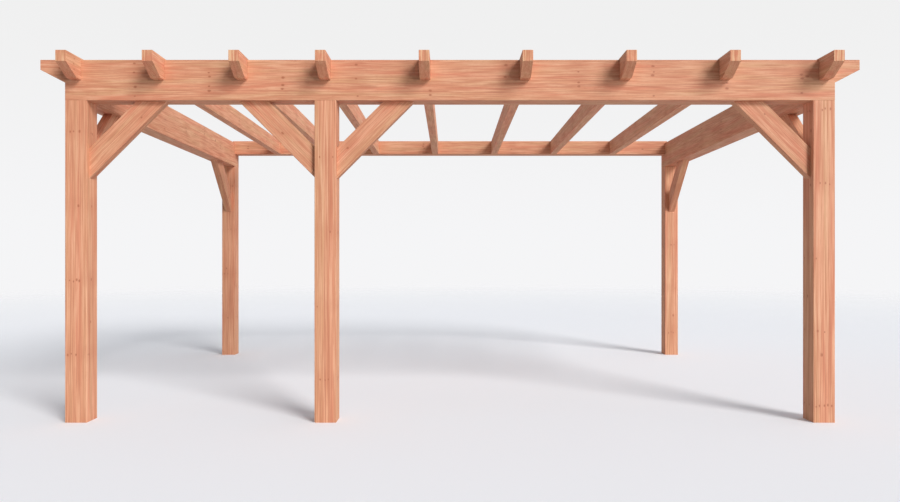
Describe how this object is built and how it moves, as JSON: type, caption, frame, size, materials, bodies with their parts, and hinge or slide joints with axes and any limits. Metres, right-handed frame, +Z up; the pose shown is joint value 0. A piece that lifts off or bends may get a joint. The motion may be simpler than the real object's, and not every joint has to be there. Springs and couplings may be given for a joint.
{
  "type": "attached veranda",
  "caption": "Open timber veranda frame for a house wall: square posts, braces, deep beams and rafters with shaped tails let through the front beam.",
  "frame": {"origin": "on the ground, in the middle of the overall length and depth", "axes": "+X to the right along the front, +Y back to the house wall, +Z up"},
  "size_m": [5.748, 3.852, 2.5595],
  "materials": {
    "timber": "planed and left bare, salmon-orange with darker streaks"
  },
  "bodies": {
    "root": {"front_left_post": "timber", "front_middle_post": "timber", "front_right_post": "timber", "rear_left_post": "timber", "rear_right_post": "timber", "front_beam": "timber", "left_side_beam": "timber", "right_side_beam": "timber", "rear_plate": "timber", "rafter_1": "timber", "rafter_2": "timber", "rafter_3": "timber", "rafter_4": "timber", "rafter_5": "timber", "rafter_6": "timber", "rafter_7": "timber", "front_left_brace": "timber", "front_middle_left_brace": "timber", "front_middle_right_brace": "timber", "front_right_brace": "timber", "left_side_front_brace": "timber", "left_side_rear_brace": "timber", "right_side_front_brace": "timber", "right_side_rear_brace": "timber", "left_corner_tail": "timber", "right_corner_tail": "timber"}
  },
  "joints": []
}
